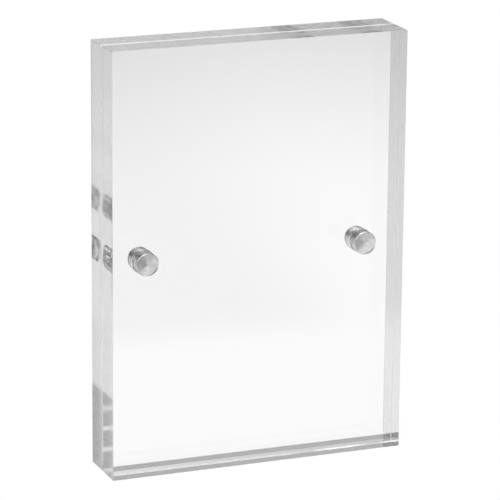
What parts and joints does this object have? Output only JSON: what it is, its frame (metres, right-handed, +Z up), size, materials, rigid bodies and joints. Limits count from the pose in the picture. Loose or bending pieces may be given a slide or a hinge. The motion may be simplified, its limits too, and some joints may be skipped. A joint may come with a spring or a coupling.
{
  "type": "photo frame",
  "caption": "Free-standing clear acrylic block photo frame: front and rear blocks close on a print and are held by plated magnets sunk in their mating faces.",
  "frame": {"origin": "middle of the base, at the plane where the two blocks meet", "axes": "+Z up, -Y out of the front face, +X to the right as seen from the front"},
  "size_m": [0.127, 0.0256, 0.1778],
  "materials": {
    "clear_acrylic": "polished",
    "nickel_plate": "satin"
  },
  "bodies": {
    "rear_half": {"rear_block": "clear_acrylic", "rear_magnet_left": "nickel_plate", "rear_magnet_right": "nickel_plate"},
    "front_half": {"front_block": "clear_acrylic", "front_magnet_left": "nickel_plate", "front_magnet_right": "nickel_plate"}
  },
  "joints": [
    {"name": "front_pull_off", "type": "slide", "parent": "rear_half", "child": "front_half", "axis": [0, -1, 0], "range_m": [0, 0.08]}
  ]
}
